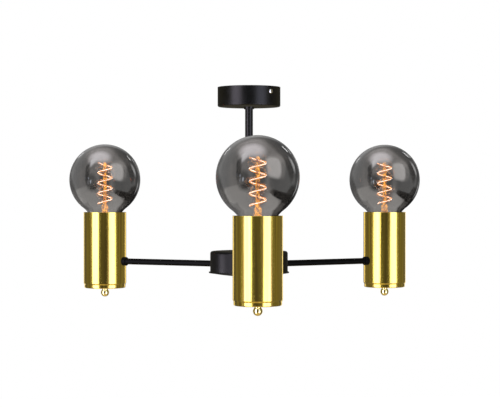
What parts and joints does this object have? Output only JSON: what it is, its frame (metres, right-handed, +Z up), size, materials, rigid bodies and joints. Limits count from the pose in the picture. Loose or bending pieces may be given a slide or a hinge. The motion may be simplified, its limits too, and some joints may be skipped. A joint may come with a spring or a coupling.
{
  "type": "chandelier",
  "caption": "Ceiling light: black arms run level from a round hub on a short rod to upright brass tube cups, each with a large smoke globe lamp.",
  "frame": {"origin": "centre of the ceiling face, on the down rod's axis", "axes": "+Z up along the down rod, -Y along the front arm, +X to the right seen from the front"},
  "size_m": [0.4726, 0.422, 0.2739],
  "materials": {
    "black_powder_coat": "satin powder coat on steel",
    "lacquered_brass": "finely brushed and lacquered",
    "smoke_glass": "clear grey smoke tint",
    "clear_glass": "clear",
    "led_filament": "glowing phosphor strip",
    "nickel_brass": "nickel plated, rolled thread",
    "contact_brass": "plain",
    "nickel_steel": "nickel plated",
    "zinc_steel": "bright zinc plated",
    "black_phenolic": "moulded",
    "steatite": "pressed ceramic",
    "white_polyamide": "moulded",
    "wire_insulation": "extruded, high-temperature"
  },
  "bodies": {
    "root": {"ceiling_bracket": "zinc_steel", "canopy": "black_powder_coat", "canopy_screws": "nickel_steel", "locknuts_m10": "zinc_steel", "tooth_washers": "zinc_steel", "rod_collar": "black_powder_coat", "terminal_block": "white_polyamide", "terminal_screws": "zinc_steel", "down_rod": "black_powder_coat", "riser_leads": "wire_insulation", "hub_cup": "black_powder_coat", "hub_cover": "black_powder_coat", "hub_cap_nut": "black_powder_coat", "terminal_ring": "white_polyamide", "arm_collars": "black_powder_coat", "locknuts_m8": "zinc_steel", "lamp_leads": "wire_insulation", "finial_nuts": "zinc_steel", "holder_brackets": "zinc_steel", "holder_inserts": "steatite", "holder_shells": "contact_brass", "holder_contacts": "contact_brass", "holder_nipples": "zinc_steel", "arm_1": "black_powder_coat", "cup_tube_1": "lacquered_brass", "cup_base_1": "lacquered_brass", "ball_finial_1": "lacquered_brass", "lampholder_barrel_1": "black_phenolic", "lampholder_cap_1": "black_phenolic", "arm_2": "black_powder_coat", "cup_tube_2": "lacquered_brass", "cup_base_2": "lacquered_brass", "ball_finial_2": "lacquered_brass", "lampholder_barrel_2": "black_phenolic", "lampholder_cap_2": "black_phenolic", "arm_3": "black_powder_coat", "cup_tube_3": "lacquered_brass", "cup_base_3": "lacquered_brass", "ball_finial_3": "lacquered_brass", "lampholder_barrel_3": "black_phenolic", "lampholder_cap_3": "black_phenolic"},
    "bulb_1_contact": {"bulb_1_tip": "contact_brass"},
    "bulb_1": {"bulb_1_glass": "smoke_glass", "bulb_1_cap": "nickel_brass", "bulb_1_stem": "clear_glass", "bulb_1_filament": "led_filament", "bulb_1_leads": "nickel_steel"},
    "bulb_2_contact": {"bulb_2_tip": "contact_brass"},
    "bulb_2": {"bulb_2_glass": "smoke_glass", "bulb_2_cap": "nickel_brass", "bulb_2_stem": "clear_glass", "bulb_2_filament": "led_filament", "bulb_2_leads": "nickel_steel"},
    "bulb_3_contact": {"bulb_3_tip": "contact_brass"},
    "bulb_3": {"bulb_3_glass": "smoke_glass", "bulb_3_cap": "nickel_brass", "bulb_3_stem": "clear_glass", "bulb_3_filament": "led_filament", "bulb_3_leads": "nickel_steel"}
  },
  "joints": [
    {"name": "bulb_1_lift", "type": "slide", "parent": "root", "child": "bulb_1_contact", "axis": [0, 0, 1], "range_m": [0, 0.0182]},
    {"name": "bulb_1_turn", "type": "hinge", "parent": "bulb_1_contact", "child": "bulb_1", "pos_m": [0, -0.218, -0.19], "axis": [0, 0, 1], "range_deg": [0, 1800]},
    {"name": "bulb_2_lift", "type": "slide", "parent": "root", "child": "bulb_2_contact", "axis": [0, 0, 1], "range_m": [0, 0.0182]},
    {"name": "bulb_2_turn", "type": "hinge", "parent": "bulb_2_contact", "child": "bulb_2", "pos_m": [0.18879, 0.109, -0.19], "axis": [0, 0, 1], "range_deg": [0, 1800]},
    {"name": "bulb_3_lift", "type": "slide", "parent": "root", "child": "bulb_3_contact", "axis": [0, 0, 1], "range_m": [0, 0.0182]},
    {"name": "bulb_3_turn", "type": "hinge", "parent": "bulb_3_contact", "child": "bulb_3", "pos_m": [-0.18879, 0.109, -0.19], "axis": [0, 0, 1], "range_deg": [0, 1800]}
  ],
  "couplings": [
    {"joint": "bulb_1_lift", "follows": "bulb_1_turn", "m_per_rad": 0.00057757},
    {"joint": "bulb_2_lift", "follows": "bulb_2_turn", "m_per_rad": 0.00057757},
    {"joint": "bulb_3_lift", "follows": "bulb_3_turn", "m_per_rad": 0.00057757}
  ]
}
